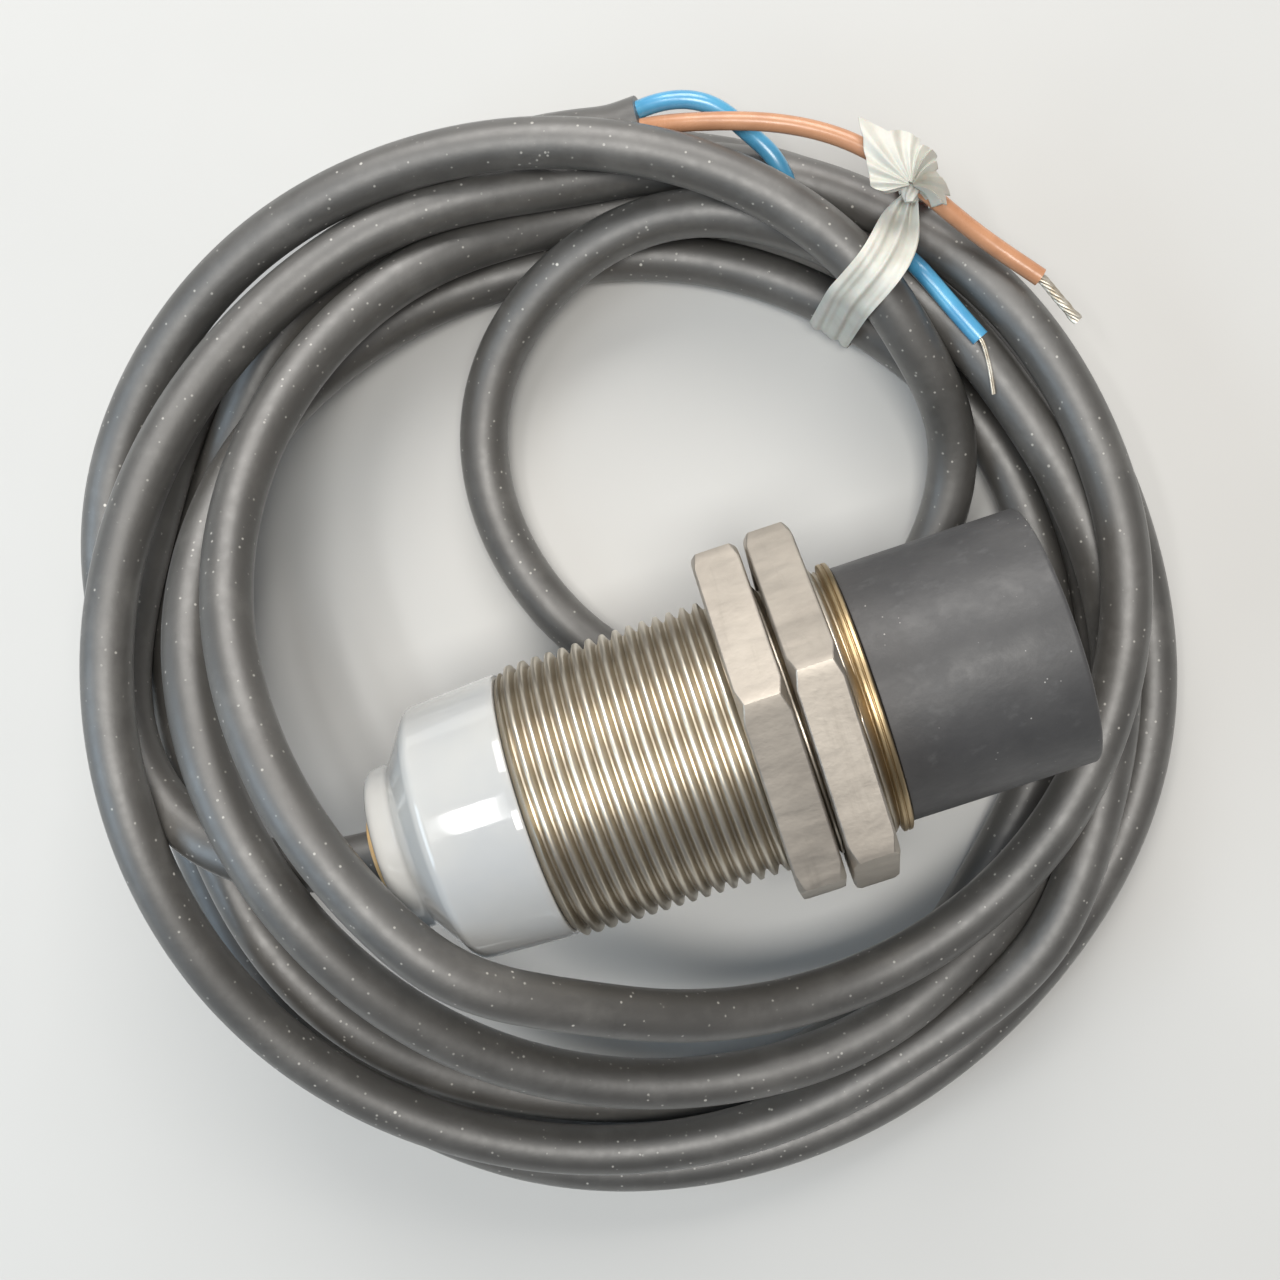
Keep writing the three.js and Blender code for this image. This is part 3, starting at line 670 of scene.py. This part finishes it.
def threaded_barrel():
    """Points and faces of the helical thread, which fades out at both ends."""
    sides, samples = 144, 14
    span = COLLAR_START - BARREL_REAR
    rows = (int(span / PITCH) + 3) * samples
    points, faces = [], []
    for j in range(sides):
        angle = 2 * math.pi * j / sides
        for k in range(rows + samples):
            x = BARREL_REAR + (k / samples - 1.5 + j / sides) * PITCH
            inside = min(max(x, BARREL_REAR), COLLAR_START)
            r = thread_radius((k % samples) / samples)
            ends = min(inside - BARREL_REAR, COLLAR_START - inside)
            r = min(r, ROOT_R - 0.1 + 1.1 * ends)
            points.append((inside, r * math.cos(angle), r * math.sin(angle)))
    count = rows + samples
    for j in range(sides):
        seam = j == sides - 1
        for k in range(rows - 1):
            here = j * count + k
            there = k + samples if seam else here + count
            faces.append((here, here + 1, there + 1, there))
    return points, faces


def barrel_pieces():
    """The thread, the plain collar with its groove in front of it, and the tube inside both."""
    points, faces = threaded_barrel()
    thread = mesh_piece("barrel_thread", points, faces, math.radians(50))
    place(thread, "barrel_nickel", replaces=("barrel",))
    collar = rounded([
        (COLLAR_START - 0.3, BORE_R), (COLLAR_START - 0.3, ROOT_R - 0.15),
        (COLLAR_START + 0.1, ROOT_R - 0.1), (COLLAR_START + 0.25, 14.75),
        (-21.15, 14.8), (-21.1, 14.62), (-20.98, 14.62), (-20.93, 14.8),
        (-20.55, 14.75), (BARREL_FRONT, 14.5), (BARREL_FRONT, BORE_R),
    ], 0.06, 4)
    place(turned("barrel_collar", collar, 144), "barrel_nickel")
    tube = rounded([
        (BARREL_REAR, BORE_R), (BARREL_REAR, ROOT_R - 0.1), (COLLAR_START - 0.2, ROOT_R - 0.1),
        (COLLAR_START - 0.2, BORE_R),
    ], 0.1, 3)
    place(turned("barrel_tube", tube, 96), "barrel_nickel")


def sensing_cap():
    """The front cup: the sensing face lies at x = 0."""
    shoulder = BARREL_FRONT + 0.12
    outline = rounded([
        (0.0, 0.0, 0), (0.0, CAP_R, 0.55), (shoulder, CAP_R - 0.02, 0.15), (shoulder, 12.9, 0.1),
        (-27.0, 12.9), (-27.0, 11.1), (-1.2, 11.1, 0.4), (-1.2, 0.0, 0),
    ], 0.2, 6)
    place(turned("sensing_cap_body", outline, 160), "cap_plastic", replaces=("sensing_cap",))


def rear_cap():
    """The rear cup with its cone and stepped nose, open in the middle for the gland."""
    shoulder = BARREL_REAR - 0.08
    outline = rounded([
        (-51.0, 11.4), (-51.0, 12.9), (shoulder, 12.9, 0.1), (shoulder, 14.5, 0.25),
        (-58.2, 14.58, 0.3), (-67.4, 14.05, 0.8), (-68.15, 13.45, 0.35), (-71.2, 9.05, 0.5),
        (REAR_END, 8.95, 1.3), (REAR_END, 4.5, 0.25), (-69.8, 4.5), (-69.8, 5.8), (-66.8, 11.4),
    ], 0.3, 8)
    place(turned("rear_cap_shell", outline, 160), "rear_plastic", replaces=("rear_cap",))


def gland():
    """The flanged bush between the cable and the nose."""
    outline = rounded([
        (REAR_END - 1.3, 3.0, 0.25), (REAR_END - 1.3, 4.2, 0.35), (REAR_END + 4.9, 4.2),
        (REAR_END + 4.9, 5.2), (REAR_END + 5.8, 5.2), (REAR_END + 5.8, 3.0),
    ], 0.2, 6)
    place(turned("gland_bush_ring", outline, 72), "gland_bush", replaces=("cable_gland",))


def hex_radius(angle):
    """Outline of the hexagon with slightly rounded corners; a corner lies at angle 0."""
    sharpness = 260.0
    total = sum(abs(math.cos(angle - math.radians(30 + 60 * k))) ** sharpness for k in range(3))
    return NUT_FLATS / 2 * total ** (-1 / sharpness)


def nut(name, rear, turn_degrees, body, node):
    """A thin hexagon nut with its corners turned off at 30 degrees on both faces."""
    front = rear + NUT_THICKNESS
    sides = 216
    bore, mouth, chamfer = 15.05, 15.9, 19.5
    slope = math.tan(math.radians(30))
    points = []
    for j in range(sides):
        angle = 2 * math.pi * j / sides
        outer = hex_radius(angle)
        inner = min(chamfer, outer - 0.35)
        drop = 0.16 + (outer - inner) * slope - 0.35 * slope
        ring = [
            (rear + 0.7, bore), (rear, mouth), (rear, mouth + 0.4), (rear, inner - 0.25),
            (rear + 0.04, inner), (rear + drop, outer - 0.06), (rear + drop + 0.12, outer),
            (front - drop - 0.12, outer), (front - drop, outer - 0.06), (front - 0.04, inner),
            (front, inner - 0.25), (front, mouth + 0.4), (front, mouth), (front - 0.7, bore),
        ]
        turned_angle = angle + math.radians(90 - turn_degrees)
        for x, r in ring:
            points.append((x, r * math.cos(turned_angle), r * math.sin(turned_angle)))
    faces = ring_faces(sides, len(ring))
    place(mesh_piece(name, points, faces, math.radians(24)), "nut_nickel", body, (node,))


barrel_pieces()
sensing_cap()
rear_cap()
gland()
nut("front_nut_hex", -28.1, 16.0, "front_nut", "front_nut")
nut("rear_nut_hex", -33.9, 11.5, "rear_nut", "rear_nut")

# =====================================================================================
# twist tie
# =====================================================================================


def hull(points):
    """Convex outline of 2D points, anticlockwise."""
    points = sorted(map(tuple, points))

    def half(run):
        out = []
        for p in run:
            while len(out) > 1 and (
                (out[-1][0] - out[-2][0]) * (p[1] - out[-2][1])
                - (out[-1][1] - out[-2][1]) * (p[0] - out[-2][0])
            ) <= 0:
                out.pop()
            out.append(p)
        return out[:-1]

    return half(points) + half(points[::-1])


def bundle_outline():
    """Where the tie lies round the lead's turns, as (along, height) points."""
    flat = lead_line[:, :2] - TIE_AT
    near = (np.abs(flat @ TIE_ACROSS) < 3.8) & ((flat @ TIE_ALONG) > -6) & ((flat @ TIE_ALONG) < 32)
    centres = np.stack([(flat @ TIE_ALONG)[near], lead_line[near, 2]], axis=1)
    ring = []
    reach = CABLE_R + TIE_THICKNESS
    for angle in np.linspace(0, 2 * math.pi, 24, endpoint=False):
        ring.append(centres + reach * np.array([math.cos(angle), math.sin(angle)]))
    return np.array(hull(np.vstack(ring)))


def film(name, surface, normals, thickness):
    """A closed film from a grid of points, rows by columns, thickened below its surface."""
    rows, columns = surface.shape[:2]
    under = surface - normals * thickness
    points = [tuple(p) for p in surface.reshape(-1, 3)] + [tuple(p) for p in under.reshape(-1, 3)]
    size = rows * columns
    faces = []
    for i in range(rows - 1):
        for k in range(columns - 1):
            a = i * columns + k
            quad = (a, a + 1, a + columns + 1, a + columns)
            faces.append(quad)
            faces.append(tuple(size + v for v in reversed(quad)))
    rim = list(range(columns))
    rim += [i * columns + columns - 1 for i in range(1, rows)]
    rim += [(rows - 1) * columns + k for k in range(columns - 2, -1, -1)]
    rim += [i * columns for i in range(rows - 2, 0, -1)]
    for a, b in zip(rim, rim[1:] + rim[:1]):
        faces.append((b, a, size + a, size + b))
    return place(mesh_piece(name, points, faces, math.radians(70)), "tie_film")


def tie_strip():
    """The strip runs round the bundle and is gathered at both ends under the knot."""
    outline = bundle_outline()
    closed = np.vstack([outline, outline[:1]])
    far = np.r_[0, np.cumsum(np.linalg.norm(np.diff(closed, axis=0), axis=1))]
    marks = np.linspace(0, far[-1], 150, endpoint=False)
    loop = np.stack([np.interp(marks, far, closed[:, k]) for k in range(2)], axis=1)
    for _ in range(5):
        loop = 0.5 * loop + 0.25 * (np.roll(loop, 1, 0) + np.roll(loop, -1, 0))
    underside = loop[:, 1] < loop[:, 1].mean()
    start = int(np.argmin(np.abs(loop[:, 0] - KNOT_ALONG) + 100 * underside))
    loop = np.roll(loop, -start, axis=0)
    flow = np.roll(loop, -1, 0) - np.roll(loop, 1, 0)
    flow /= np.linalg.norm(flow, axis=1)[:, None]
    along = np.array([*TIE_ALONG, 0.0])
    across = np.array([*TIE_ACROSS, 0.0])
    rise = np.array([0.0, 0.0, 1.0])
    base = np.array([*TIE_AT, 0.0])
    walk = far[-1] * np.arange(len(loop)) / len(loop)
    reach = np.minimum(walk, far[-1] - walk)
    u = np.linspace(-0.5, 0.5, 41)
    surface, normals = [], []
    for (a, h), (fa, fh), d, w in zip(loop, flow, reach, walk):
        width = TIE_WIDTH * (1 - 0.62 * math.exp(-((d / 2.6) ** 1.5)))
        lift = 1.6 * math.exp(-((d / 2.2) ** 2))
        sway = 0.3 * math.exp(-(((a - 3.0) / 5.0) ** 2)) - 1.3 * math.exp(-(((a - 12.0) / 6.0) ** 2))
        sway += 0.4 * math.exp(-((d / 3.0) ** 2))
        out = along * fh - rise * fa
        fold = 0.13 + 0.42 * math.exp(-((d / 4.5) ** 2))
        ridge = fold * np.cos(2 * math.pi * (2.6 * u + 0.15))
        ridge += 0.07 * np.cos(2 * math.pi * 4.3 * u + 0.12 * w)
        ridge += 0.03 * np.cos(2 * math.pi * 7.0 * u + 0.25 * w)
        centre = base + along * a + rise * (h + lift) + across * sway
        surface.append(centre + np.outer(width * u, across) + np.outer(ridge + fold, out))
        normals.append(np.repeat(out[None], len(u), axis=0))
    strip = film("tie_strip_film", np.array(surface), np.array(normals), 0.3)
    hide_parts("tie_strip")
    return np.array(surface[0]).mean(axis=0)


# The knot's gathered end: its reach in mm at angles from the fan's right-hand side.
FAN_REACH = [
    (-22, 3.2), (-10, 4.6), (10, 4.2), (28, 3.8), (45, 3.7), (62, 4.7), (77, 5.2), (92, 5.5),
    (105, 6.3), (118, 6.5), (125, 8.0), (131, 9.6), (138, 7.4), (150, 5.8), (165, 4.7), (180, 4.4),
    (192, 3.0),
]
# Above this angle the fan is one broad panel, and below it a stack of narrow pleats.
PANEL_FROM = 86.0
FAN_RIGHT = np.array([0.95, -0.31, 0.0])
FAN_UP = np.array([0.31, 0.95, 0.0])


def fan(name, centre, shrink, narrow, lift, seed):
    """The film's flattened ends round the knot: a panel and pleats, each about narrow degrees wide."""
    draw = np.random.default_rng(seed)
    first, last = FAN_REACH[0][0], FAN_REACH[-1][0]
    angles = np.linspace(first, last, 230)
    reach = np.interp(angles, *zip(*FAN_REACH)) * shrink
    share = (angles - first) / (last - first)
    broad = angles > PANEL_FROM
    narrow_count = round((PANEL_FROM - first) / narrow)
    panel_pleat = narrow_count + (angles - PANEL_FROM) / (1.5 * narrow)
    stack_pleat = narrow_count * (angles - first) / (PANEL_FROM - first)
    pleat = np.where(broad, panel_pleat, stack_pleat)
    index = np.floor(pleat).astype(int)
    within = pleat - index
    jitter = draw.uniform(-0.07, 0.07, index.max() + 2)
    reach = reach * np.where(broad, 1.0, (1 + jitter[index]) * (1 - 0.10 * within))
    saw = np.where(within < 0.8, within / 0.8, (1 - within) / 0.2)
    saw = np.where(broad, 0.5 - 0.5 * np.cos(2 * math.pi * within), saw)
    tall = np.where(broad, 0.42, 0.6 + 0.4 * draw.uniform(0, 1, index.max() + 2)[index])
    radii = np.linspace(0.06, 1.0, 26)
    surface = np.zeros((len(radii), len(angles), 3))
    for i, r in enumerate(radii):
        turn_back = np.radians(angles - 16 * r ** 2 * (1 - share))
        flat = np.outer(np.cos(turn_back), FAN_RIGHT) + np.outer(np.sin(turn_back), FAN_UP)
        height = lift + tall * saw * math.sin(min(1.0, 1.5 * r) * math.pi / 2)
        height = height + 0.5 * math.cos(math.pi * r) + 0.7 * share * r - 1.3 * r ** 3 * (1 - share)
        surface[i] = centre + flat * (reach * r)[:, None]
        surface[i, :, 2] += height
    normals = np.zeros_like(surface)
    normals[..., 2] = 1.0
    return film(name, surface, normals, 0.28)


def knot_core(centre):
    """The twisted neck that gathers strip and fan."""
    sides, rows = 36, 26
    points, faces = [], []
    for i in range(rows + 1):
        t = i / rows
        size = 0.55 + 0.35 * math.sin(math.pi * t)
        for k in range(sides):
            angle = 2 * math.pi * k / sides
            r = size * (1 + 0.16 * math.cos(5 * angle + 9 * t))
            spot = centre + FAN_UP * (2.6 * t - 1.5) + FAN_RIGHT * r * math.cos(angle)
            points.append(tuple(spot + np.array([0, 0, 0.75 * r * math.sin(angle) - 0.95])))
    for i in range(rows):
        for k in range(sides):
            a, b = i * sides + k, i * sides + (k + 1) % sides
            faces.append((a, b, b + sides, a + sides))
    faces.append(tuple(reversed(range(sides))))
    faces.append(tuple(rows * sides + k for k in range(sides)))
    return place(mesh_piece("tie_knot_neck", points, faces, math.radians(60)), "tie_film")


strip_end = tie_strip()
knot_centre = np.array([1.5, 50.5, max(strip_end[2] + 0.4, -5.6)])
top_fan = fan("tie_fan_top", knot_centre, 1.0, 13.0, 0.0, 3)
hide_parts("tie_knot")
fan("tie_fan_under", knot_centre, 0.86, 17.0, -1.1, 7)
knot_core(knot_centre)

# =====================================================================================
# carried-over CAD pieces inside the barrel
# =====================================================================================
slots = {part["node"]: part["material_slot"] for part in frame["record"]["subparts"]}
for node, piece in frame["nodes"].items():
    piece.data.materials.clear()
    piece.data.materials.append(PAINTS[slots[node]])

# =====================================================================================
# floor and light
# =====================================================================================


def floor():
    mesh = bpy.data.meshes.new("floor")
    half = 1.2
    z = FLOOR * MM - 0.0006
    corners = [(-half, -half, z), (half, -half, z), (half, half, z), (-half, half, z)]
    mesh.from_pydata(corners, [], [(0, 1, 2, 3)])
    piece = bpy.data.objects.new("floor", mesh)
    bpy.context.collection.objects.link(piece)
    paint = Paint("pale_floor", (0.52, 0.52, 0.51), 0.75)
    paint.color(paint.mix(paint.noise(30, 3), (0.53, 0.53, 0.52), (0.50, 0.50, 0.49)))
    mesh.materials.append(paint.material)


LIT_POINT = Vector((-0.044, 0.012, -0.01))


def area_light(name, at, size, power, color):
    """A soft rectangular light that faces the object, with its first side level along X."""
    data = bpy.data.lights.new(name, "AREA")
    data.shape = "RECTANGLE"
    data.size, data.size_y = size
    data.energy = power
    data.color = color
    light = bpy.data.objects.new(name, data)
    toward = (LIT_POINT - Vector(at)).normalized()
    across = (Vector((1, 0, 0)) - toward * toward.x).normalized()
    turn = Matrix((across, across.cross(toward), -toward)).transposed().to_4x4()
    light.matrix_world = Matrix.Translation(at) @ turn
    bpy.context.collection.objects.link(light)


floor()
area_light("ceiling", (-0.02, -0.05, 0.75), (0.34, 0.20), 3.9, (1.0, 0.97, 0.92))
area_light("tube", (-0.29, 0.13, 0.75), (0.05, 0.26), 0.8, (1.0, 0.99, 0.97))
area_light("key", (0.10, 0.62, 0.50), (0.6, 0.4), 6.2, (1.0, 0.97, 0.93))
area_light("window", (-0.62, 0.05, 0.34), (0.35, 0.5), 2.0, (0.66, 0.84, 1.0))
area_light("fill", (0.45, -0.45, 0.6), (0.6, 0.6), 0.2, (1.0, 0.98, 0.95))
world = bpy.data.worlds.new("studio")
bpy.context.scene.world = world
world.use_nodes = True
world.node_tree.nodes["Background"].inputs["Color"].default_value = (0.90, 0.93, 1.0, 1.0)
world.node_tree.nodes["Background"].inputs["Strength"].default_value = 0.14
bpy.context.scene.view_settings.view_transform = "Standard"
